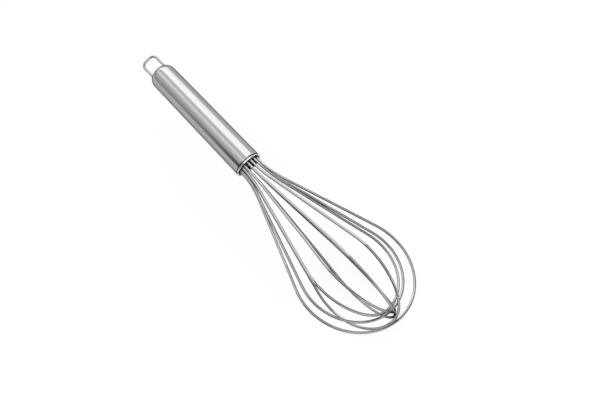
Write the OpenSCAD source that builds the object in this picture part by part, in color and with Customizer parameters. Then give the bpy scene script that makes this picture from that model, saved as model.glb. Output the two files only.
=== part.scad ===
// Balloon whisk: six spring wire loops in a tapered steel tube handle with a hanging loop.
// The whisk lies along X, from the hanging loop to the tip of the wire balloon. The origin is the
// middle of the eye of the hanging loop, and +Z is square to that loop. Millimetres, +Z up.

/* [Handle] */
// Outer diameter of the tube at the mouth
handle_d = 23; // [22:0.5:28]
// Outer diameter of the tube where the shoulder of the dome starts
handle_end_d = 21.8; // [18:0.2:26]
// Length of the handle, from the mouth to the flat top of the dome
handle_l = 111.5; // [80:0.5:150]
// Wall thickness of the tube
tube_wall = 0.6; // [0.5:0.1:0.8]
// Outer radius of the rounded shoulder of the dome
shoulder_r = 7; // [3:0.5:8]

/* [Mouth] */
// Thickness of the round bead at the mouth
bead_d = 2; // [1.2:0.1:2.2]
// Length of the sleeve that carries the bead inside the tube
sleeve_l = 8; // [6:0.5:14]
// Wall thickness of the sleeve
sleeve_wall = 0.5; // [0.4:0.1:0.7]
// How far the wire seat lies back inside the mouth
seat_depth = 2.6; // [2:0.2:4]
// Thickness of the wire seat
seat_t = 1.4; // [1:0.2:3]
// Length of the resin plug behind the wire seat
plug_l = 26; // [15:1:40]

/* [Wire loops] */
// Diameter of the spring wire
wire_d = 2; // [1.4:0.1:2.1]
// Gap between the wires and the bead at the mouth
mouth_gap = 0.1; // [0.1:0.05:0.4]
// Distance from the mouth to the tip of the outermost loop, to the centre of the wire
balloon_l = 163; // [140:1:200]
// Radius of the round end of an average loop, to the centre of the wire
balloon_r = 43; // [36:0.2:52]
// How much the radius of each loop differs from that, from the outermost loop to the innermost one
loop_more_r = [3.4, 0, -0.4, 0.2, -2.4, -2]; // [-4:0.2:4]
// Gap between one loop and the next where they cross at the tip
cross_gap = 0.13; // [0.1:0.01:0.3]
// Radius of the flare where the wires leave the mouth
flare_r = 67; // [50:1:120]
// Half angle of the arc in which the two strands of a loop join at the tip
cross_a = 20; // [12:1:30]
// Turn of each loop about the handle, in the same order
loop_turn = [150, 52, 77.5, 100, 146.5, 131.5]; // [0:0.5:180]
// Splay of the two strands out of the plane of each loop
loop_splay = [2.5, 8.5, 5, 6.5, 0.5, -10.5]; // [-12:0.5:12]
// How far each loop crosses the tip to the side of the axis of the handle
loop_shift = [-3, 0.6, -1.4, -3, -0.2, 2.6]; // [-3:0.2:3]
// Turns about the handle of the two holes in the wire seat that hold each loop
hole_turn = [[162.5, 12], [63.5, 219.5], [84.5, 250], [107.5, 273], [145, 325], [123.5, 39]];
// Length over which each strand bends from its flank into its round end, on either side of the bend
lead_l = 9.5; // [6:0.5:12]
// Length of straight wire behind the mouth, held by the resin
tail_l = 24; // [12:1:36]

/* [Hanging loop] */
// Diameter of the wire of the hanging loop
hang_wire_d = 2; // [1.6:0.1:2.6]
// Distance between the centres of its two legs
hang_w = 12.8; // [10:0.2:13.4]
// Height of the loop over the dome, to the centre of the wire
hang_h = 14.8; // [10:0.2:25]
// Bend radius of its two corners, to the centre of the wire
hang_bend_r = 4.5; // [3:0.5:4.5]
// Length of each leg inside the dome
hang_root_l = 6; // [4:0.5:12]

/* [Hidden] */
$fn = 48;

// An easy bend under this angle is one straight length
least_bend = 12;
// Clearance round everything that is pressed or cast into place
fit_gap = 0.05;
// Straight steps that draw the round shoulder in profile
shoulder_steps = 10;
// Half the gap between two lengths of wire inside the ball that joins them, and how much thicker
// than the wire that ball is
seam = 0.05;
joint_k = 1.02;

// Circle on which the strands leave the mouth, and inner radius of the tube along the handle
strand_r = handle_d/2 - bead_d - mouth_gap - wire_d/2;
function tube_r(x) = handle_d/2 + (handle_end_d - handle_d)/2*x/(handle_l - shoulder_r);
function bore_r(x) = tube_r(x) - tube_wall;
sleeve_r = bore_r(sleeve_l) - fit_gap;
seat_r = sleeve_r - sleeve_wall - fit_gap;
seat_back = seat_depth + seat_t;

// The pieces are drawn with the mouth of the handle at X = 0, and the handle on the -X side. This
// is where the mouth comes to lie from the middle of the eye of the hanging loop.
mouth_x = handle_l + (hang_h - hang_wire_d/2)/2;
module place() {
    translate([mouth_x, 0, 0]) children();
}

// Outline of one half of the tube: the tapered side, the round shoulder and the flat top, drawn
// inwards from the outer surface by the given depth. X of the outline is the radius.
function shoulder_points(inset) =
    let (r = shoulder_r - inset, cx = handle_end_d/2 - shoulder_r, cy = handle_l - shoulder_r)
    [for (i = [0:shoulder_steps]) let (a = 90*i/shoulder_steps) [cx + r*cos(a), cy + r*sin(a)]];

module tube_solid(inset, start) {
    rotate([0, -90, 0])
        rotate_extrude()
            polygon(concat([[0, start], [tube_r(start) - inset, start]], shoulder_points(inset),
                           [[0, handle_l - inset]]));
}

// A disc or plug across the handle, from depth x0 to depth x1 behind the mouth
module plug_disc(x0, x1, r) {
    translate([-x1, 0, 0]) rotate([0, 90, 0]) cylinder(h = x1 - x0, r = r);
}

// Shape of a loop, counted from the outermost one. A strand leaves its hole in the wire seat
// straight, flares out on an arc and runs straight up the flank. An easy bend leads it into the
// wide arc round the end, which has its centre abreast of the axis of the handle. Strand 0 is on
// the side of the turn of the loop, strand 1 on the other side.
function end_r(i) = balloon_r + loop_more_r[i];
function end_x(i) = balloon_l - i*(wire_d + cross_gap) - end_r(i);
function end_a(i) =
    let (dx = end_x(i), dy = strand_r + flare_r)
    asin((flare_r + end_r(i))/norm([dx, dy])) - atan2(dy, dx);
function spoke(a) = [0, cos(a), sin(a)];
function strand_turn(i, side) = loop_turn[i] + (side == 0 ? loop_splay[i] : 180 - loop_splay[i]);
function hole_mid(i, side) = strand_r*spoke(hole_turn[i][side]);
function end_mid(i) = [end_x(i), 0, 0] + loop_shift[i]*spoke(loop_turn[i] + 90);
function arc_start(i, side) =
    end_mid(i) + end_r(i)*(cos(end_a(i))*spoke(strand_turn(i, side)) - [sin(end_a(i)), 0, 0]);
function arc_way(i, side) = [cos(end_a(i)), 0, 0] + sin(end_a(i))*spoke(strand_turn(i, side));
function flank_end(i, side) = arc_start(i, side) - lead_l*arc_way(i, side);

// Length of the flank and angle of the flare, given the way from the hole to the end of the flank
function outward(way) = norm([way[1], way[2]]);
function flank_l(way) = sqrt(pow(way[0], 2) + pow(outward(way) - flare_r, 2) - pow(flare_r, 2));
function flare_a(way) = atan2(outward(way) - flare_r, way[0]) + atan2(flare_r, flank_l(way));

// A round rod along X from x0 to x1, and a round bend about Z of radius r from angle a0 to a1
module rod(x0, x1, d) {
    translate([x0, 0, 0]) rotate([0, 90, 0]) cylinder(h = x1 - x0, d = d);
}
module bend(r, a0, a1, d) {
    rotate([0, 0, a0]) rotate_extrude(angle = a1 - a0) translate([r, 0]) circle(d = d);
}

// Lengths of wire meet in a ball a hair thicker than the wire, which fuses them into one solid
module wire_rod(l) {
    rod(seam, l - seam, wire_d);
}
module wire_bend(r, a0, a1) {
    bend(r, a0 + asin(seam/r), a1 - asin(seam/r), wire_d);
}
module joint() {
    sphere(d = wire_d*joint_k);
}

// A direction seen from a frame that was turned about X by the first angle, then about Z by the other
function seen_from(dir, turn, a) =
    let (y = dir[1]*cos(turn) + dir[2]*sin(turn), z = dir[2]*cos(turn) - dir[1]*sin(turn))
    [dir[0]*cos(a) + y*sin(a), y*cos(a) - dir[0]*sin(a), z];

// The easy bend, from the end of the flank along X towards +Y
module lead_in(a) {
    r = lead_l/tan(a/2);
    if (a > least_bend) translate([0, r, 0]) wire_bend(r, -90, a - 90);
    else rotate([0, 0, a/2]) wire_rod(2*lead_l*cos(a/2));
}

// One strand of a loop, from its tail to the start of the crossing arc
module strand(i, side) {
    way = flank_end(i, side) - hole_mid(i, side);
    turn = atan2(way[2], way[1]);
    a = flare_a(way);
    onward = seen_from(arc_way(i, side), turn, a);
    translate(hole_mid(i, side)) {
        translate([-tail_l, 0, 0]) wire_rod(tail_l);
        joint();
        rotate([turn, 0, 0]) translate([0, flare_r, 0]) {
            wire_bend(flare_r, -90, a - 90);
            rotate([0, 0, a]) translate([0, -flare_r, 0]) {
                joint();
                wire_rod(flank_l(way) - lead_l);
                translate([flank_l(way) - lead_l, 0, 0])
                    rotate([atan2(onward[2], onward[1]), 0, 0]) {
                        joint();
                        lead_in(atan2(outward(onward), onward[0]));
                    }
            }
        }
    }
    translate(end_mid(i)) rotate([strand_turn(i, side), 0, 0]) {
        wire_bend(end_r(i), cross_a, 90 + end_a(i));
        for (b = [cross_a, 90 + end_a(i)]) rotate([0, 0, b]) translate([end_r(i), 0, 0]) joint();
    }
}

// The crossing at the tip: the arc that is tangent to the ends of both strands. Its plane tips
// over by the angle that the splay of the strands asks for.
module crossing(i) {
    splay = loop_splay[i];
    half_w = end_r(i)*sin(cross_a);
    turn = acos(pow(cos(cross_a), 2)*cos(2*splay) - pow(sin(cross_a), 2));
    r = half_w/cos(cross_a)/tan(turn/2);
    translate(end_mid(i)) rotate([loop_turn[i], 0, 0])
        translate([end_r(i)/cos(cross_a), 0, 0]) rotate([0, atan2(sin(splay), tan(cross_a)), 0])
            translate([-r/cos(turn/2), 0, 0]) wire_bend(r, -turn/2, turn/2);
}

// The straight tails of all strands, thicker by the clearance, to cut their holes
module tail_holes() {
    for (i = [0:len(loop_turn) - 1], side = [0, 1]) translate(hole_mid(i, side))
        rod(-tail_l - fit_gap, -seat_depth/2, wire_d + 2*fit_gap);
}

// The drawn tube, open at the mouth and closed by the dome, with two holes for the hanging loop
module handle_shell() {
    color("Silver") difference() {
        tube_solid(0, bead_d);
        difference() {
            tube_solid(tube_wall, 0);
            plug_disc(-1, 0, handle_d);
        }
        for (side = [-1, 1]) translate([0, side*hang_w/2, 0])
            rod(-handle_l - 1, -handle_l + shoulder_r, hang_wire_d + 2*fit_gap);
    }
}

// The round bead that closes the edge of the tube, on a sleeve pressed into the tube
module mouth_ring() {
    color("Gainsboro") union() {
        rotate([0, -90, 0]) rotate_extrude() {
            translate([handle_d/2 - bead_d/2, bead_d/2]) circle(d = bead_d);
            translate([sleeve_r - sleeve_wall, bead_d/2])
                square([sleeve_wall, sleeve_l - bead_d/2]);
        }
    }
}

// The disc that spaces the strands, set back inside the mouth
module wire_seat() {
    color("DimGray") difference() {
        plug_disc(seat_depth, seat_back, seat_r);
        tail_holes();
    }
}

// The cast plug that holds the tails of the wires and seals the handle
module resin_plug() {
    color("DarkSlateGray") difference() {
        rotate([0, -90, 0]) rotate_extrude()
            polygon([[0, seat_back], [seat_r, seat_back], [seat_r, sleeve_l + fit_gap],
                     [bore_r(sleeve_l) - fit_gap, sleeve_l + fit_gap],
                     [bore_r(seat_back + plug_l) - fit_gap, seat_back + plug_l],
                     [0, seat_back + plug_l]]);
        tail_holes();
    }
}

// The U of wire that stands out of the dome
module hanging_loop() {
    corner_x = hang_h - hang_bend_r;
    corner_y = hang_w/2 - hang_bend_r;
    color("LightGray") translate([-handle_l, 0, 0]) rotate([0, 0, 180]) {
        for (side = [0, 1]) mirror([0, side, 0]) {
            translate([0, hang_w/2, 0]) rod(-hang_root_l, corner_x, hang_wire_d);
            translate([corner_x, corner_y, 0]) bend(hang_bend_r, 0, 90, hang_wire_d);
        }
        translate([hang_h, 0, 0]) rotate([0, 0, 90]) rod(-corner_y, corner_y, hang_wire_d);
    }
}

// One spring wire, bent into a closed loop
module wire_loop(i) {
    color("LightSteelBlue") union() {
        for (side = [0, 1]) strand(i, side);
        crossing(i);
    }
}

place() handle_shell();
place() mouth_ring();
place() wire_seat();
place() resin_plug();
place() hanging_loop();
place() wire_loop(0);  // wire_loop_1
place() wire_loop(1);  // wire_loop_2
place() wire_loop(2);  // wire_loop_3
place() wire_loop(3);  // wire_loop_4
place() wire_loop(4);  // wire_loop_5
place() wire_loop(5);  // wire_loop_6
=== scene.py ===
"""The looks of a wire balloon whisk: satin tube handle, bright mouth ring, drawn spring wires."""

import math

import bmesh
import bpy
from mathutils import Matrix, Vector


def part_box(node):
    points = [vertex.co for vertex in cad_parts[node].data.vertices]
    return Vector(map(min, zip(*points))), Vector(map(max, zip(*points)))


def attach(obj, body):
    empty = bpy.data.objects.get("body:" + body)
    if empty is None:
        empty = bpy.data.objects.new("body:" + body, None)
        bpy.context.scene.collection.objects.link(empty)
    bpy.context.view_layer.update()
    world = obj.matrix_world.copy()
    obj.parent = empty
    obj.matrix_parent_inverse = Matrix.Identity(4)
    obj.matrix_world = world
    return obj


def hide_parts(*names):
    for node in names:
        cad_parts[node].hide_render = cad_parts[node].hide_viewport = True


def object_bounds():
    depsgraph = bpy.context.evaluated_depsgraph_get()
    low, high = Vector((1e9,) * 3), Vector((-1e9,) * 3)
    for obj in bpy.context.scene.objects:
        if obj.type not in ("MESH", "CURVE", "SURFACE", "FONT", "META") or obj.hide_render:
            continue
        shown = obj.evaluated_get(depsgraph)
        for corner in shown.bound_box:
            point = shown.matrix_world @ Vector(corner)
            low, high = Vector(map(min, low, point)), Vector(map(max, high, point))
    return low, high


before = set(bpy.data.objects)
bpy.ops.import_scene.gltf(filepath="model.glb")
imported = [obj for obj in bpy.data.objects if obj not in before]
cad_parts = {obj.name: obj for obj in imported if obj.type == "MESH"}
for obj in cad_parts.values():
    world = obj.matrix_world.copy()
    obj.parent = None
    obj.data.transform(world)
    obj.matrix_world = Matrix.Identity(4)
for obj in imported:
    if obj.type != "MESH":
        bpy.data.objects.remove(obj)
CAD_LOW, CAD_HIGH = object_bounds()

bl_info = {
    "name": "Wire Balloon Whisk",
    "version": (1, 0, 0),
    "blender": (4, 5, 0),
    "location": "3D View > Sidebar > Whisk",
    "description": "Dresses a steel balloon whisk and sets up its studio",
    "category": "Object",
}

AXIS = Vector((1, 0, 0))
# Near-black colour of the painted shade in the grooves beside the bead at the mouth
GROOVE_SHADE = (0.03, 0.028, 0.025)
WIRE_NODES = [f"wire_loop_{i}" for i in range(1, 7)]

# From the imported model: the dome, the lip of the tube, the mouth and the inner end of its sleeve,
# and the high corner of the hanging loop, whose wire lies flat in the middle
DOME_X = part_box("handle_shell")[0].x
LIP_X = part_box("handle_shell")[1].x
MOUTH_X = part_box("mouth_ring")[1].x
SLEEVE_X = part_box("mouth_ring")[0].x
LOOP_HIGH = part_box("hanging_loop")[1]
LOOP_WIRE_R = LOOP_HIGH.z

# Clearance between the tube's wall and the sleeve of the ring
FIT_GAP = 0.00005
# Points that lie closer than this become one
MERGE_GAP = 1e-6
# How far round the bead is rolled, in degrees, and the steps of its section
BEAD_ROLL = 260
BEAD_STEPS = 26
# The steps of the tube's shoulder and lip, and where its side and its flat end get their rings
SHOULDER_STEPS = 20
LIP_STEPS = 4
SIDE_SHARES = (0.01, 0.25, 0.5, 0.75, 0.99, 1.0)
END_SHARES = (0.97, 0.6, 0.25, 0.0)
# How deep the braze reaches into the dome, the share of the leg's radius that it starts from, its
# flat ledge beside the leg as a share of its width, and the steps of its section and round the leg
BRAZE_DEPTH = 0.0007
BRAZE_BORE = 0.97
BRAZE_LEDGE = 0.1
BRAZE_STEPS = 6
BRAZE_SIDES = 40
# How far from the dome the heat of the brazing starts to dull the wire, and where it is dullest
HEAT_START = 0.003
HEAT_FULL = 0.0004
HEAT_TONE = (0.62, 0.58, 0.52)

# The picture that the camera frames, in pixels, and the camera itself
PHOTO_WIDTH = 600
PHOTO_HEIGHT = 400
SENSOR_MM = 36.0
CLIP_NEAR = 0.01
CLIP_FAR = 100.0

# How far the floor and the dark card lie under the lowest wire
FLOOR_GAP = 0.0002
CARD_GAP = 0.0001
# The floor's matt white, and the share of it that is plain white to the camera and in reflections
FLOOR_WHITE = 0.92
FLOOR_CLEAR = 0.85


class WhiskHandle(bpy.types.PropertyGroup):
    """Sizes of the tube handle"""

    mouth_diameter: bpy.props.FloatProperty(
        name="Diameter at the mouth", description="Outer diameter of the tube at the mouth",
        unit="LENGTH", default=0.023, min=0.01)
    end_diameter: bpy.props.FloatProperty(
        name="Diameter at the dome",
        description="Outer diameter of the tube where the shoulder starts",
        unit="LENGTH", default=0.0218, min=0.01)
    shoulder: bpy.props.FloatProperty(
        name="Shoulder", description="Radius of the rounded shoulder of the dome",
        unit="LENGTH", default=0.007, min=0.001)
    wall: bpy.props.FloatProperty(
        name="Wall", description="Wall thickness of the tube",
        unit="LENGTH", default=0.0006, min=0.0001)
    lip: bpy.props.FloatProperty(
        name="Lip", description="Rounding of the edge of the tube beside the ring",
        unit="LENGTH", default=0.0002, min=0.0)
    bead: bpy.props.FloatProperty(
        name="Bead", description="Thickness of the rolled bead at the mouth",
        unit="LENGTH", default=0.0015, min=0.0005)
    sides: bpy.props.IntProperty(
        name="Sides", description="Steps round the tube", default=144, min=24, max=256)
    braze: bpy.props.FloatProperty(
        name="Braze", description="Width of the braze round each leg of the hanging loop",
        unit="LENGTH", default=0.0004, min=0.0)


class WhiskSteel(bpy.types.PropertyGroup):
    """Colours and finishes of the steel pieces"""

    handle_color: bpy.props.FloatVectorProperty(
        name="Handle colour", description="Satin steel of the tube handle",
        subtype="COLOR", size=3, default=(0.405, 0.405, 0.405), min=0.0, max=1.0)
    handle_roughness: bpy.props.FloatProperty(
        name="Handle roughness", description="Blur of the reflections in the handle",
        default=0.13, min=0.0, max=1.0)
    bead_color: bpy.props.FloatVectorProperty(
        name="Ring colour", description="Polished steel of the ring at the mouth",
        subtype="COLOR", size=3, default=(0.8, 0.8, 0.8), min=0.0, max=1.0)
    seat_color: bpy.props.FloatVectorProperty(
        name="Seat colour", description="Dull steel of the disc that holds the wires",
        subtype="COLOR", size=3, default=(0.12, 0.12, 0.12), min=0.0, max=1.0)
    resin_color: bpy.props.FloatVectorProperty(
        name="Resin colour", description="Cast resin behind the seat",
        subtype="COLOR", size=3, default=(0.03, 0.03, 0.03), min=0.0, max=1.0)
    wire_color: bpy.props.FloatVectorProperty(
        name="Wire colour", description="Drawn steel of the spring wires",
        subtype="COLOR", size=3, default=(0.4, 0.4, 0.4), min=0.0, max=1.0)
    hanging_color: bpy.props.FloatVectorProperty(
        name="Hanging loop colour",
        description="Drawn steel of the hanging loop, duller from the brazing",
        subtype="COLOR", size=3, default=(0.38, 0.38, 0.38), min=0.0, max=1.0)
    wire_roughness: bpy.props.FloatProperty(
        name="Wire roughness", description="Blur of the reflections in the wires",
        default=0.06, min=0.0, max=1.0)
    handle_rim: bpy.props.FloatProperty(
        name="Handle rim",
        description="How much light the handle and its ring give back at a low angle",
        default=0.24, min=0.0, max=1.0)
    wire_rim: bpy.props.FloatProperty(
        name="Wire rim", description="How much light the wires give back at a low angle",
        default=0.08, min=0.0, max=1.0)


class WhiskStudio(bpy.types.PropertyGroup):
    """Camera, floor and light"""

    focal_px: bpy.props.FloatProperty(
        name="Focal length", description="Focal length of the camera, in pixels of the picture",
        default=800.0, min=100.0)
    tilt: bpy.props.FloatProperty(
        name="Tilt", description="How far the tip of the whisk leans towards the camera",
        subtype="ANGLE", default=math.radians(15.4))
    turn: bpy.props.FloatProperty(
        name="Turn", description="Angle of the whisk in the picture, down from the horizontal",
        subtype="ANGLE", default=math.radians(45.9))
    mouth_pixel: bpy.props.FloatVectorProperty(
        name="Mouth", description="Where the middle of the handle's mouth lies in the picture",
        size=2, default=(249.3, 165.7))
    mouth_depth: bpy.props.FloatProperty(
        name="Distance", description="Depth of the mouth behind the camera",
        unit="LENGTH", default=0.617)
    floor_size: bpy.props.FloatProperty(
        name="Floor size", description="Width of the floor", unit="LENGTH", default=40.0)
    softbox: bpy.props.FloatProperty(
        name="Softbox", description="Brightness of the softbox", default=2.4, min=0.0)
    card: bpy.props.FloatProperty(
        name="Dark card", description="How much light the dark card takes away",
        default=0.92, min=0.0, max=1.0)
    flag_distance: bpy.props.FloatProperty(
        name="Flag distance", description="How far the dark flags stand from the whisk",
        unit="LENGTH", default=1.5, min=0.3)
    flag_tone: bpy.props.FloatProperty(
        name="Flag tone", description="How dark the flags are beside the wires",
        default=0.02, min=0.0, max=1.0)


# ---------------------------------------------------------------------------------------------
# Finishes that the materials share
# ---------------------------------------------------------------------------------------------

def new_group(name, inputs, outputs):
    """An empty node group with number or vector sockets: returns it with its two ends."""
    group = bpy.data.node_groups.new(name, "ShaderNodeTree")
    for label, default in inputs:
        kind = "NodeSocketVector" if default is None else "NodeSocketFloat"
        socket = group.interface.new_socket(label, in_out="INPUT", socket_type=kind)
        if default is not None:
            socket.default_value = default
    for label in outputs:
        group.interface.new_socket(label, in_out="OUTPUT", socket_type="NodeSocketFloat")
    return group, group.nodes.new("NodeGroupInput"), group.nodes.new("NodeGroupOutput")


def math_node(nodes, links, operation, *values):
    """A maths node whose inputs are sockets or plain numbers: returns its output."""
    node = nodes.new("ShaderNodeMath")
    node.operation = operation
    for socket, value in zip(node.inputs, values):
        if isinstance(value, (int, float)):
            socket.default_value = value
        else:
            links.new(value, socket)
    return node.outputs[0]


def fit_range(nodes, links, value, low, high, to_low=0.0, to_high=1.0, smooth=False):
    """Fits a value that runs from low to high to another range, and holds it at the ends."""
    node = nodes.new("ShaderNodeMapRange")
    node.interpolation_type = "SMOOTHSTEP" if smooth else "LINEAR"
    for label, number in (("From Min", low), ("From Max", high),
                          ("To Min", to_low), ("To Max", to_high)):
        node.inputs[label].default_value = number
    links.new(value, node.inputs["Value"])
    return node.outputs[0]


def noise(nodes, links, vector, scale, detail, roughness=0.5):
    """Smooth noise in waves per metre: returns its value."""
    node = nodes.new("ShaderNodeTexNoise")
    node.inputs["Detail"].default_value = detail
    node.inputs["Roughness"].default_value = roughness
    links.new(vector, node.inputs["Vector"])
    if isinstance(scale, (int, float)):
        node.inputs["Scale"].default_value = scale
    else:
        links.new(scale, node.inputs["Scale"])
    return node.outputs[0]


def stretched(nodes, links, start):
    """A finish's coordinates, drawn out along X: both of its scales are waves per metre."""
    scale = nodes.new("ShaderNodeCombineXYZ")
    for socket, label in zip(scale.inputs, ("Along", "Across", "Across")):
        links.new(start.outputs[label], socket)
    product = nodes.new("ShaderNodeVectorMath")
    product.operation = "MULTIPLY"
    links.new(start.outputs["Vector"], product.inputs[0])
    links.new(scale.outputs[0], product.inputs[1])
    return product.outputs[0]


def grain_group():
    """Brushed or drawn lines: their height, and the slow change of tone from line to line."""
    group, start, end = new_group(
        "steel grain", [("Vector", None), ("Along", 20.0), ("Across", 3000.0)], ["Height", "Tone"])
    nodes, links = group.nodes, group.links
    lines = stretched(nodes, links, start)
    fine = noise(nodes, links, lines, 1.0, 4.0, 0.6)
    links.new(fit_range(nodes, links, fine, 0.3, 0.7), end.inputs["Height"])
    broad = noise(nodes, links, lines, 0.17, 2.0)
    links.new(fit_range(nodes, links, broad, 0.32, 0.68), end.inputs["Tone"])
    return group


def scratch_group():
    """A few thin hairlines along the piece."""
    group, start, end = new_group(
        "steel hairlines",
        [("Vector", None), ("Along", 40.0), ("Across", 1500.0), ("Amount", 1.0)], ["Mask"])
    nodes, links = group.nodes, group.links
    lines = stretched(nodes, links, start)
    thin = fit_range(nodes, links, noise(nodes, links, lines, 1.0, 1.0), 0.7, 0.76)
    cloud = noise(nodes, links, start.outputs["Vector"], 55.0, 1.0)
    some = math_node(nodes, links, "MULTIPLY", thin, fit_range(nodes, links, cloud, 0.45, 0.6))
    shown = math_node(nodes, links, "MULTIPLY", some, start.outputs["Amount"])
    links.new(shown, end.inputs["Mask"])
    return group


def handling_group():
    """Soft cloudy marks from wiping and handling."""
    group, start, end = new_group("handling marks", [("Vector", None), ("Scale", 60.0)], ["Mask"])
    nodes, links = group.nodes, group.links
    cloud = noise(nodes, links, start.outputs["Vector"], start.outputs["Scale"], 3.0, 0.55)
    links.new(fit_range(nodes, links, cloud, 0.42, 0.68, smooth=True), end.inputs["Mask"])
    return group


def groove_shade_group():
    """Painted shade, near black, in a groove round the axis, between two places along it and under
    a radius.

    Its vector holds the place along the axis in Y and the radius in Z."""
    group, start, end = new_group(
        "groove shade", [("Vector", None), ("Start", 0.1), ("End", 0.09), ("Top", 0.01)], ["Mask"])
    nodes, links = group.nodes, group.links
    parts = nodes.new("ShaderNodeSeparateXYZ")
    links.new(start.outputs["Vector"], parts.inputs[0])
    along = [math_node(nodes, links, "LESS_THAN", parts.outputs["Y"], start.outputs["Start"]),
             math_node(nodes, links, "GREATER_THAN", parts.outputs["Y"], start.outputs["End"])]
    between = math_node(nodes, links, "MULTIPLY", *along)
    depth = math_node(nodes, links, "SUBTRACT", start.outputs["Top"], parts.outputs["Z"])
    sunk = fit_range(nodes, links, depth, 0.0, 0.0001, smooth=True)
    links.new(math_node(nodes, links, "MULTIPLY", between, sunk), end.inputs["Mask"])
    return group


def shared_group(name):
    """Each shared finish is built once, when the first material asks for it."""
    builders = {"steel grain": grain_group, "steel hairlines": scratch_group,
                "handling marks": handling_group, "groove shade": groove_shade_group}
    return bpy.data.node_groups.get(name) or builders[name]()


def place_group(nodes, links, name, vector, **values):
    """Places a shared finish in a material with its own values: returns its node."""
    node = nodes.new("ShaderNodeGroup")
    node.node_tree = shared_group(name)
    links.new(vector, node.inputs["Vector"])
    for label, value in values.items():
        node.inputs[label.capitalize()].default_value = value
    return node


def metal(name, roughness, rim):
    """A bare metal and the ends that its finish is wired to."""
    material = bpy.data.materials.new(name)
    material.use_nodes = True
    nodes, links = material.node_tree.nodes, material.node_tree.links
    shader = nodes["Principled BSDF"]
    shader.inputs["Metallic"].default_value = 1.0
    shader.inputs["Roughness"].default_value = roughness
    shader.inputs["Specular Tint"].default_value = (rim, rim, rim, 1.0)
    coords = nodes.new("ShaderNodeTexCoord")
    return material, nodes, links, shader, coords.outputs["Object"]


def shade(nodes, links, color, mask, low, high):
    """The colour times low where the mask is 0 and times high where it is 1."""
    mix = nodes.new("ShaderNodeMix")
    mix.data_type = "RGBA"
    mix.inputs["A"].default_value = (*[c*low for c in color], 1.0)
    mix.inputs["B"].default_value = (*[c*high for c in color], 1.0)
    links.new(mask, mix.inputs["Factor"])
    return mix.outputs["Result"]


def tint(nodes, links, base, mask, color):
    """The base colour, turned to the given colour where the mask is 1."""
    mix = nodes.new("ShaderNodeMix")
    mix.data_type = "RGBA"
    links.new(mask, mix.inputs["Factor"])
    links.new(base, mix.inputs["A"])
    mix.inputs["B"].default_value = (*color, 1.0)
    return mix.outputs["Result"]


def bump(nodes, links, shader, height, strength, distance):
    """Gives the surface its fine relief."""
    node = nodes.new("ShaderNodeBump")
    node.inputs["Strength"].default_value = strength
    node.inputs["Distance"].default_value = distance
    links.new(height, node.inputs["Height"])
    links.new(node.outputs[0], shader.inputs["Normal"])


def around_axis(nodes, links, place):
    """Coordinates in which what runs round the handle is one straight line: X and the radius."""
    parts = nodes.new("ShaderNodeSeparateXYZ")
    links.new(place, parts.inputs[0])
    squares = [math_node(nodes, links, "POWER", parts.outputs[label], 2.0) for label in "YZ"]
    square = math_node(nodes, links, "ADD", *squares)
    vector = nodes.new("ShaderNodeCombineXYZ")
    links.new(parts.outputs["X"], vector.inputs["Y"])
    links.new(math_node(nodes, links, "SQRT", square), vector.inputs["Z"])
    return vector.outputs[0]


def satin_steel(steel, sizes):
    """The handle: fine lines brushed along the tube, wiping marks, a few hairlines, and painted
    shade at the lip.
    """
    rough = steel.handle_roughness
    material, nodes, links, shader, place = metal("satin steel", rough, steel.handle_rim)
    grain = place_group(nodes, links, "steel grain", place, along=14.0, across=2600.0)
    marks = place_group(nodes, links, "handling marks", place, scale=48.0)
    lines = place_group(nodes, links, "steel hairlines", place,
                        along=45.0, across=1700.0, amount=0.8)
    base = shade(nodes, links, steel.handle_color, grain.outputs["Tone"], 0.92, 1.08)
    bright = [min(1.0, c*1.3) for c in steel.handle_color]
    scratched = tint(nodes, links, base, lines.outputs["Mask"], bright)
    # Painted shade, near black, on the lip beside the bead, where the steel is also made rougher
    groove = place_group(nodes, links, "groove shade", around_axis(nodes, links, place),
                         start=LIP_X + 0.0001, end=LIP_X - 0.00006,
                         top=sizes.mouth_diameter/2 - 0.0001)
    groove_shaded = tint(nodes, links, scratched, groove.outputs["Mask"], GROOVE_SHADE)
    links.new(groove_shaded, shader.inputs["Base Color"])
    brushed = fit_range(nodes, links, grain.outputs["Height"], 0.0, 1.0, rough - 0.03, rough + 0.03)
    wiped = math_node(nodes, links, "MULTIPLY_ADD", marks.outputs["Mask"], 0.05, brushed)
    links.new(math_node(nodes, links, "MULTIPLY_ADD", groove.outputs["Mask"], 0.3, wiped),
              shader.inputs["Roughness"])
    bump(nodes, links, shader, grain.outputs["Height"], 0.12, 0.00001)
    return material


def turned_steel(steel, sizes):
    """The ring at the mouth: polished, with fine turning lines round it and painted shade in its
    groove.
    """
    material, nodes, links, shader, place = metal("turned steel", 0.08, steel.handle_rim)
    round_it = around_axis(nodes, links, place)
    grain = place_group(nodes, links, "steel grain", round_it, along=1.0, across=5200.0)
    marks = place_group(nodes, links, "handling marks", place, scale=260.0)
    # Painted shade, near black, in the groove behind the bead, where the steel is also made rougher
    groove = place_group(nodes, links, "groove shade", round_it, start=MOUTH_X - sizes.bead*0.96,
                         end=LIP_X - 0.001, top=sizes.mouth_diameter/2 - 0.0004)
    base = shade(nodes, links, steel.bead_color, grain.outputs["Tone"], 0.94, 1.06)
    links.new(tint(nodes, links, base, groove.outputs["Mask"], GROOVE_SHADE), shader.inputs["Base Color"])
    rough = fit_range(nodes, links, marks.outputs["Mask"], 0.0, 1.0, 0.06, 0.14)
    links.new(math_node(nodes, links, "MULTIPLY_ADD", groove.outputs["Mask"], 0.4, rough),
              shader.inputs["Roughness"])
    bump(nodes, links, shader, grain.outputs["Height"], 0.1, 0.00001)
    return material


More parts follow.
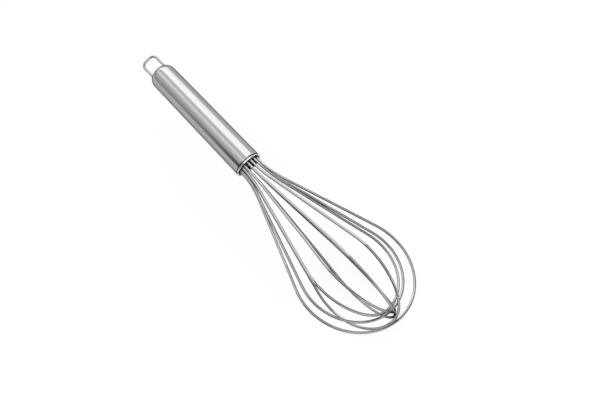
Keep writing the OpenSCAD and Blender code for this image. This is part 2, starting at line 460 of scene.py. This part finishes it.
def stamped_steel(steel):
    """The disc that spaces the wires: dull, mottled and a little stained in its recess."""
    material, nodes, links, shader, place = metal("stamped steel", 0.42, 0.2)
    marks = place_group(nodes, links, "handling marks", place, scale=420.0)
    grain = place_group(nodes, links, "steel grain", place, along=900.0, across=900.0)
    base = shade(nodes, links, steel.seat_color, grain.outputs["Tone"], 0.85, 1.15)
    stain = [c*0.6 for c in steel.seat_color]
    links.new(tint(nodes, links, base, marks.outputs["Mask"], stain), shader.inputs["Base Color"])
    rough = fit_range(nodes, links, marks.outputs["Mask"], 0.0, 1.0, 0.36, 0.55)
    links.new(rough, shader.inputs["Roughness"])
    bump(nodes, links, shader, grain.outputs["Height"], 0.25, 0.00002)
    return material


def cast_resin(steel):
    """The plug behind the seat: dark resin with a matt skin and small pits."""
    material, nodes, links, shader, place = metal("cast resin", 0.45, 1.0)
    shader.inputs["Metallic"].default_value = 0.0
    marks = place_group(nodes, links, "handling marks", place, scale=300.0)
    pits = fit_range(nodes, links, noise(nodes, links, place, 1400.0, 1.0), 0.66, 0.72)
    base = shade(nodes, links, steel.resin_color, marks.outputs["Mask"], 0.8, 1.3)
    links.new(base, shader.inputs["Base Color"])
    rough = fit_range(nodes, links, marks.outputs["Mask"], 0.0, 1.0, 0.38, 0.55)
    links.new(rough, shader.inputs["Roughness"])
    bump(nodes, links, shader, math_node(nodes, links, "SUBTRACT", 1.0, pits), 0.5, 0.00005)
    return material


def drawn_steel(name, steel, color, braze_x=None):
    """Drawn wire: bright, with a faint mottle from the die, duller beside a brazed joint."""
    material, nodes, links, shader, place = metal(name, steel.wire_roughness, steel.wire_rim)
    grain = place_group(nodes, links, "steel grain", place, along=700.0, across=700.0)
    marks = place_group(nodes, links, "handling marks", place, scale=130.0)
    base = shade(nodes, links, color, grain.outputs["Tone"], 0.94, 1.05)
    rough = fit_range(nodes, links, marks.outputs["Mask"], 0.0, 1.0, steel.wire_roughness - 0.02,
                      steel.wire_roughness + 0.05)
    if braze_x is not None:
        parts = nodes.new("ShaderNodeSeparateXYZ")
        links.new(place, parts.inputs[0])
        near = fit_range(nodes, links, parts.outputs["X"],
                         braze_x - HEAT_START, braze_x - HEAT_FULL, smooth=True)
        patchy = math_node(nodes, links, "MULTIPLY", near,
                           fit_range(nodes, links, marks.outputs["Mask"], 0.0, 1.0, 0.55, 1.0))
        dull = [c*f for c, f in zip(color, HEAT_TONE)]
        base = tint(nodes, links, base, patchy, dull)
        rough = math_node(nodes, links, "MULTIPLY_ADD", patchy, 0.12, rough)
    links.new(base, shader.inputs["Base Color"])
    links.new(rough, shader.inputs["Roughness"])
    bump(nodes, links, shader, grain.outputs["Height"], 0.08, 0.00001)
    return material


def braze_metal(steel):
    """The braze round each leg of the hanging loop: dull, slightly lumpy."""
    material, nodes, links, shader, place = metal("braze", 0.3, 0.2)
    marks = place_group(nodes, links, "handling marks", place, scale=900.0)
    color = [c*0.9 for c in steel.hanging_color]
    base = shade(nodes, links, color, marks.outputs["Mask"], 0.85, 1.15)
    links.new(base, shader.inputs["Base Color"])
    rough = fit_range(nodes, links, marks.outputs["Mask"], 0.0, 1.0, 0.22, 0.4)
    links.new(rough, shader.inputs["Roughness"])
    bump(nodes, links, shader, marks.outputs["Mask"], 0.4, 0.00003)
    return material


# ---------------------------------------------------------------------------------------------
# Pieces
# ---------------------------------------------------------------------------------------------

def dress(node, material):
    """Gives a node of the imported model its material."""
    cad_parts[node].material_slots[0].material = material


def new_piece(name, bm, material):
    """Turns a bmesh into a piece of the object, smooth and riding on its one body."""
    mesh = bpy.data.meshes.new(name)
    bm.to_mesh(mesh)
    bm.free()
    for face in mesh.polygons:
        face.use_smooth = True
    mesh.materials.append(material)
    piece = bpy.data.objects.new(name, mesh)
    bpy.context.scene.collection.objects.link(piece)
    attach(piece, "root")
    return piece


def draw_on(bm, vert, place):
    """Draws a straight edge of a profile from its last vertex: returns the new last vertex."""
    new = bmesh.ops.extrude_vert_indiv(bm, verts=[vert])["verts"][0]
    new.co = place
    return new


def draw_arc(bm, vert, centre, angle, steps):
    """Draws an arc of a profile in the XZ plane: returns the new last vertex."""
    return bmesh.ops.spin(bm, geom=[vert], cent=centre, axis=(0, 1, 0), angle=angle,
                          steps=steps)["geom_last"][0]


def revolve(bm, centre, sides):
    """Turns the profile once round the long axis, closed at its seam and poles."""
    bmesh.ops.spin(bm, geom=bm.verts[:] + bm.edges[:], cent=centre, axis=AXIS, angle=math.tau,
                   steps=sides, use_merge=True)
    bmesh.ops.remove_doubles(bm, verts=bm.verts[:], dist=MERGE_GAP)
    bmesh.ops.recalc_face_normals(bm, faces=bm.faces[:])


def tube_radius(sizes, x):
    """Outer radius of the tapered side of the tube."""
    share = (MOUTH_X - x)/(MOUTH_X - DOME_X - sizes.shoulder)
    return sizes.mouth_diameter/2 + (sizes.end_diameter - sizes.mouth_diameter)/2*share


def handle_tube(sizes):
    """The drawn tube with its rounded shoulder, flat end and wall, open at the lip."""
    bm = bmesh.new()
    vert = bmesh.ops.create_vert(bm, co=(LIP_X, 0.0, tube_radius(sizes, LIP_X)))["vert"][0]
    start_x = DOME_X + sizes.shoulder
    for share in SIDE_SHARES:
        x = LIP_X + (start_x - LIP_X)*share
        vert = draw_on(bm, vert, (x, 0.0, tube_radius(sizes, x)))
    centre = (start_x, 0.0, sizes.end_diameter/2 - sizes.shoulder)
    vert = draw_arc(bm, vert, centre, -math.pi/2, SHOULDER_STEPS)
    flat = vert.co.z
    for share in END_SHARES:
        vert = draw_on(bm, vert, (DOME_X, 0.0, flat*share))
    revolve(bm, (0, 0, 0), sizes.sides)
    bmesh.ops.solidify(bm, geom=bm.faces[:], thickness=sizes.wall)
    lip = [e for e in bm.edges if all(v.co.x > LIP_X - 1e-5 for v in e.verts)
           and abs(e.verts[0].co.yz.length - e.verts[1].co.yz.length) < sizes.wall/4]
    bmesh.ops.bevel(bm, geom=lip, offset=sizes.lip, offset_type="OFFSET", affect="EDGES",
                    segments=LIP_STEPS, profile=0.5, material=-1)
    return bm


def mouth_bead(sizes):
    """The rolled bead at the mouth, with the narrow groove behind it and its sleeve in the tube."""
    bm = bmesh.new()
    r = sizes.bead/2
    rim = tube_radius(sizes, MOUTH_X)
    outer = tube_radius(sizes, LIP_X) - sizes.wall - FIT_GAP
    inner = rim - 2*r
    vert = bmesh.ops.create_vert(bm, co=(MOUTH_X - r, 0.0, inner))["vert"][0]
    vert = draw_arc(bm, vert, (MOUTH_X - r, 0.0, rim - r), -math.radians(BEAD_ROLL), BEAD_STEPS)
    vert = draw_on(bm, vert, (LIP_X, 0.0, outer))
    vert = draw_on(bm, vert, (SLEEVE_X, 0.0, outer))
    vert = draw_on(bm, vert, (SLEEVE_X, 0.0, inner))
    draw_on(bm, vert, (MOUTH_X - r, 0.0, inner))
    revolve(bm, (0, 0, 0), sizes.sides)
    return bm


def braze_collar(sizes, y):
    """A small collar of braze round one leg of the hanging loop, hollowed and sunk in the dome."""
    bm = bmesh.new()
    width = sizes.braze
    flat = sizes.end_diameter/2 - sizes.shoulder
    drop = sizes.shoulder - math.sqrt(sizes.shoulder**2 - max(0.0, abs(y) - flat)**2)
    foot = DOME_X + drop + BRAZE_DEPTH
    top = DOME_X + drop - width
    bore = LOOP_WIRE_R*BRAZE_BORE
    ledge = LOOP_WIRE_R + width*BRAZE_LEDGE
    outer = LOOP_WIRE_R + width*(1 + BRAZE_LEDGE)
    vert = bmesh.ops.create_vert(bm, co=(foot, y, bore))["vert"][0]
    vert = draw_on(bm, vert, (top, y, bore))
    vert = draw_on(bm, vert, (top, y, ledge))
    vert = draw_arc(bm, vert, (top, y, outer), math.pi/2, BRAZE_STEPS)
    vert = draw_on(bm, vert, (foot, y, outer))
    draw_on(bm, vert, (foot, y, bore))
    revolve(bm, (0, y, 0), BRAZE_SIDES)
    return bm


class WHISK_OT_handle(bpy.types.Operator):
    """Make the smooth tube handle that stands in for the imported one"""

    bl_idname = "whisk.handle"
    bl_label = "Handle"

    def execute(self, context):
        sizes = context.scene.whisk_handle
        steel = context.scene.whisk_steel
        material = satin_steel(steel, sizes)
        dress("handle_shell", material)
        tube = new_piece("handle_tube", handle_tube(sizes), material)
        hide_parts("handle_shell")
        return {"FINISHED"}


class WHISK_OT_mouth(bpy.types.Operator):
    """Dress the ring, the wire seat and the resin at the mouth"""

    bl_idname = "whisk.mouth"
    bl_label = "Mouth"

    def execute(self, context):
        sizes = context.scene.whisk_handle
        steel = context.scene.whisk_steel
        material = turned_steel(steel, sizes)
        dress("mouth_ring", material)
        bead = new_piece("mouth_bead", mouth_bead(sizes), material)
        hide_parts("mouth_ring")
        dress("wire_seat", stamped_steel(steel))
        dress("resin_plug", cast_resin(steel))
        return {"FINISHED"}


class WHISK_OT_wires(bpy.types.Operator):
    """Dress the spring wires"""

    bl_idname = "whisk.wires"
    bl_label = "Wires"

    def execute(self, context):
        steel = context.scene.whisk_steel
        material = drawn_steel("drawn wire", steel, steel.wire_color)
        for node in WIRE_NODES:
            dress(node, material)
        return {"FINISHED"}


class WHISK_OT_hanging_loop(bpy.types.Operator):
    """Dress the hanging loop and braze its legs to the dome"""

    bl_idname = "whisk.hanging_loop"
    bl_label = "Hanging loop"

    def execute(self, context):
        sizes = context.scene.whisk_handle
        steel = context.scene.whisk_steel
        wire = drawn_steel("hanging wire", steel, steel.hanging_color, braze_x=DOME_X)
        dress("hanging_loop", wire)
        material = braze_metal(steel)
        leg_y = LOOP_HIGH.y - LOOP_WIRE_R
        for side, name in ((-1, "braze_right"), (1, "braze_left")):
            new_piece(name, braze_collar(sizes, side*leg_y), material)
        return {"FINISHED"}


# ---------------------------------------------------------------------------------------------
# Studio
# ---------------------------------------------------------------------------------------------

def camera_axes(tilt, turn):
    """The camera's right, up and backward directions in the frame of the whisk."""
    right = Vector((math.cos(tilt)*math.cos(turn), math.sin(turn), -math.sin(tilt)*math.cos(turn)))
    up = Vector((-math.cos(tilt)*math.sin(turn), math.cos(turn), math.sin(tilt)*math.sin(turn)))
    return right, up, right.cross(up)


def place_camera(scene, studio):
    """Puts the camera where the mouth of the handle falls on its place in the picture."""
    right, up, back = camera_axes(studio.tilt, studio.turn)
    mouth = Vector((MOUTH_X, 0.0, 0.0))
    pixel_x, pixel_y = studio.mouth_pixel
    across = (pixel_x - PHOTO_WIDTH/2)/studio.focal_px*studio.mouth_depth
    above = (PHOTO_HEIGHT/2 - pixel_y)/studio.focal_px*studio.mouth_depth
    data = bpy.data.cameras.new("camera")
    data.sensor_width = SENSOR_MM
    data.lens = SENSOR_MM*studio.focal_px/PHOTO_WIDTH
    data.clip_start = CLIP_NEAR
    data.clip_end = CLIP_FAR
    camera = bpy.data.objects.new("camera", data)
    scene.collection.objects.link(camera)
    matrix = Matrix((right, up, back)).transposed().to_4x4()
    matrix.translation = mouth - across*right - above*up + studio.mouth_depth*back
    camera.matrix_world = matrix
    scene.camera = camera


# How bright the studio is round the long axis of the whisk: degrees from straight up, towards the
# lower left of the picture, and radiance
STUDIO_BANDS = [
    (-180, 1.0), (-100, 1.1), (-84, 1.1), (-27, 1.1), (-19, 0.98), (-12, 1.08), (-3, 1.56),
    (4, 1.5), (12, 1.2), (21, 0.95), (30, 0.84), (40, 0.84), (64, 0.84), (76, 1.0), (90, 1.15),
    (180, 1.0),
]
# The dark card and the softbox: the angles between which each rises and falls, and where along the
# whisk's direction each one changes, with its share before and after
CARD_ANGLES = (34, 55, 66, 80)
CARD_END = (-0.46, -0.33, 0.35, 1.0)
SOFTBOX_ANGLES = (-98, -62, -44, -21)
SOFTBOX_END = (0.05, 0.55, 1.0, 0.0)


def band_position(degrees):
    """Where an angle falls on the colour ramp, which runs once round the axis."""
    return degrees/360 + 0.5


def window(nodes, links, turn, rise, full, fade, end):
    """A mask that rises and falls softly between four angles round the axis."""
    up = fit_range(nodes, links, turn, band_position(rise), band_position(full), smooth=True)
    down = fit_range(nodes, links, turn, band_position(fade), band_position(end), 1.0, 0.0,
                     smooth=True)
    return math_node(nodes, links, "MULTIPLY", up, down)


def light_studio(scene, studio):
    """Light from all round, a softbox at the upper right and a dark card at the lower left."""
    world = bpy.data.worlds.new("studio")
    world.use_nodes = True
    scene.world = world
    nodes, links = world.node_tree.nodes, world.node_tree.links
    nodes.clear()
    coords = nodes.new("ShaderNodeTexCoord")
    axes = nodes.new("ShaderNodeSeparateXYZ")
    links.new(coords.outputs["Generated"], axes.inputs[0])
    minus_y = math_node(nodes, links, "MULTIPLY", axes.outputs["Y"], -1.0)
    angle = math_node(nodes, links, "ARCTAN2", minus_y, axes.outputs["Z"])
    turn = math_node(nodes, links, "MULTIPLY_ADD", angle, 1/math.tau, 0.5)
    bands = nodes.new("ShaderNodeValToRGB")
    ramp = bands.color_ramp
    ramp.elements.remove(ramp.elements[-1])
    for i, (degrees, level) in enumerate(STUDIO_BANDS):
        element = ramp.elements[0] if i == 0 else ramp.elements.new(band_position(degrees))
        element.position = band_position(degrees)
        element.color = (level, level, level, 1.0)
    links.new(turn, bands.inputs[0])

    card = window(nodes, links, turn, *CARD_ANGLES)
    card_end = fit_range(nodes, links, axes.outputs["X"], *CARD_END, smooth=True)
    held = math_node(nodes, links, "MULTIPLY", card, card_end)
    share = math_node(nodes, links, "MULTIPLY", held, studio.card)
    shaded = tint(nodes, links, bands.outputs[0], share, (0.0, 0.0, 0.0))

    box = window(nodes, links, turn, *SOFTBOX_ANGLES)
    box_end = fit_range(nodes, links, axes.outputs["X"], *SOFTBOX_END, smooth=True)
    glow = math_node(nodes, links, "MULTIPLY", box, box_end)
    lit = tint(nodes, links, shaded, glow, (studio.softbox,)*3)
    background = nodes.new("ShaderNodeBackground")
    links.new(lit, background.inputs["Color"])
    output = nodes.new("ShaderNodeOutputWorld")
    links.new(background.outputs[0], output.inputs["Surface"])


def stage_piece(name, bm, material):
    """Turns a bmesh into a piece of the studio, which isn't part of the whisk."""
    mesh = bpy.data.meshes.new(name)
    bm.to_mesh(mesh)
    bm.free()
    mesh.materials.append(material)
    piece = bpy.data.objects.new(name, mesh)
    bpy.context.scene.collection.objects.link(piece)
    return piece


def flag_material(tone):
    """Dark cloth that looks the same under any light."""
    material = bpy.data.materials.new("flag")
    material.use_nodes = True
    nodes, links = material.node_tree.nodes, material.node_tree.links
    nodes.clear()
    cloth = nodes.new("ShaderNodeEmission")
    cloth.inputs["Color"].default_value = (tone, tone, tone, 1.0)
    output = nodes.new("ShaderNodeOutputMaterial")
    links.new(cloth.outputs[0], output.inputs["Surface"])
    return material


# Where the curved flags beside the wires start and end along the whisk, in flag distances, their
# steps, and the angles from straight up between which each one stands
FLAG_START = -0.16
FLAG_END = 1.0
FLAG_STEPS = 24
FLAGS = [("flag_near", 16, 88), ("flag_far", -88, -40)]
# The dark card under the wires: its start and end along the whisk, and its width
CARD_START = 0.145
CARD_STOP = 0.2
CARD_WIDTH = 0.5


def place_flags(studio):
    """Dark flags that show only as the dark outlines in the polished wires."""
    material = flag_material(studio.flag_tone)
    far = studio.flag_distance
    for name, first, last in FLAGS:
        bm = bmesh.new()
        vert = bmesh.ops.create_vert(bm, co=(far*FLAG_START, 0.0, far))["vert"][0]
        draw_on(bm, vert, (far*FLAG_END, 0.0, far))
        bmesh.ops.rotate(bm, verts=bm.verts[:], cent=(0, 0, 0),
                         matrix=Matrix.Rotation(math.radians(first), 3, AXIS))
        bmesh.ops.spin(bm, geom=bm.verts[:] + bm.edges[:], cent=(0, 0, 0), axis=AXIS,
                       angle=math.radians(last - first), steps=FLAG_STEPS)
        hide_from_camera(stage_piece(name, bm, material))
    bm = bmesh.new()
    bmesh.ops.create_grid(bm, x_segments=1, y_segments=1, size=0.5)
    bmesh.ops.scale(bm, verts=bm.verts[:], vec=(CARD_STOP - CARD_START, CARD_WIDTH, 1.0))
    bmesh.ops.translate(bm, verts=bm.verts[:],
                        vec=((CARD_START + CARD_STOP)/2, 0.0, CAD_LOW[2] - CARD_GAP))
    hide_from_camera(stage_piece("card_wires", bm, material))


def hide_from_camera(piece):
    """Leaves a studio piece to be seen in the polished steel alone."""
    piece.visible_camera = False
    piece.visible_diffuse = False
    piece.visible_shadow = False
    piece.visible_transmission = False


def floor_material():
    """Matt white, seen as white by the camera and in reflections, with the shadow left on it."""
    material = bpy.data.materials.new("floor")
    material.use_nodes = True
    nodes, links = material.node_tree.nodes, material.node_tree.links
    nodes.clear()
    rays = nodes.new("ShaderNodeLightPath")
    seen = math_node(nodes, links, "MAXIMUM", rays.outputs["Is Camera Ray"],
                     rays.outputs["Is Glossy Ray"])
    through = math_node(nodes, links, "MAXIMUM", seen, rays.outputs["Is Transmission Ray"])
    share = math_node(nodes, links, "MULTIPLY", through, FLOOR_CLEAR)
    matt = nodes.new("ShaderNodeBsdfDiffuse")
    matt.inputs["Color"].default_value = (FLOOR_WHITE, FLOOR_WHITE, FLOOR_WHITE, 1.0)
    white = nodes.new("ShaderNodeEmission")
    white.inputs["Strength"].default_value = 1.0
    mix = nodes.new("ShaderNodeMixShader")
    links.new(share, mix.inputs[0])
    links.new(matt.outputs[0], mix.inputs[1])
    links.new(white.outputs[0], mix.inputs[2])
    output = nodes.new("ShaderNodeOutputMaterial")
    links.new(mix.outputs[0], output.inputs["Surface"])
    return material


class WHISK_OT_stage(bpy.types.Operator):
    """Set up the camera, the floor and the studio light"""

    bl_idname = "whisk.stage"
    bl_label = "Studio"

    def execute(self, context):
        scene = context.scene
        studio = scene.whisk_studio
        scene.view_settings.view_transform = "Standard"
        place_camera(scene, studio)
        bm = bmesh.new()
        bmesh.ops.create_grid(bm, x_segments=1, y_segments=1, size=studio.floor_size/2)
        bmesh.ops.translate(bm, verts=bm.verts[:], vec=(0.0, 0.0, CAD_LOW[2] - FLOOR_GAP))
        stage_piece("floor", bm, floor_material())
        place_flags(studio)
        light_studio(scene, studio)
        return {"FINISHED"}


class WHISK_PT_panel(bpy.types.Panel):
    """Sizes, finishes and steps of the whisk"""

    bl_idname = "WHISK_PT_panel"
    bl_label = "Balloon Whisk"
    bl_space_type = "VIEW_3D"
    bl_region_type = "UI"
    bl_category = "Whisk"

    def draw(self, context):
        scene = context.scene
        for title, settings in (("Handle", scene.whisk_handle), ("Steel", scene.whisk_steel),
                                ("Studio", scene.whisk_studio)):
            box = self.layout.box()
            box.label(text=title)
            for name in settings.__annotations__:
                box.prop(settings, name)
        for operator in OPERATORS:
            self.layout.operator(operator.bl_idname)


OPERATORS = [WHISK_OT_handle, WHISK_OT_mouth, WHISK_OT_wires, WHISK_OT_hanging_loop, WHISK_OT_stage]
CLASSES = [WhiskHandle, WhiskSteel, WhiskStudio, *OPERATORS, WHISK_PT_panel]


def register():
    for cls in CLASSES:
        bpy.utils.register_class(cls)
    bpy.types.Scene.whisk_handle = bpy.props.PointerProperty(type=WhiskHandle)
    bpy.types.Scene.whisk_steel = bpy.props.PointerProperty(type=WhiskSteel)
    bpy.types.Scene.whisk_studio = bpy.props.PointerProperty(type=WhiskStudio)


def unregister():
    del bpy.types.Scene.whisk_studio
    del bpy.types.Scene.whisk_steel
    del bpy.types.Scene.whisk_handle
    for cls in reversed(CLASSES):
        bpy.utils.unregister_class(cls)


def main():
    register()
    bpy.ops.whisk.handle()
    bpy.ops.whisk.mouth()
    bpy.ops.whisk.wires()
    bpy.ops.whisk.hanging_loop()
    bpy.ops.whisk.stage()


if __name__ == "__main__":
    main()
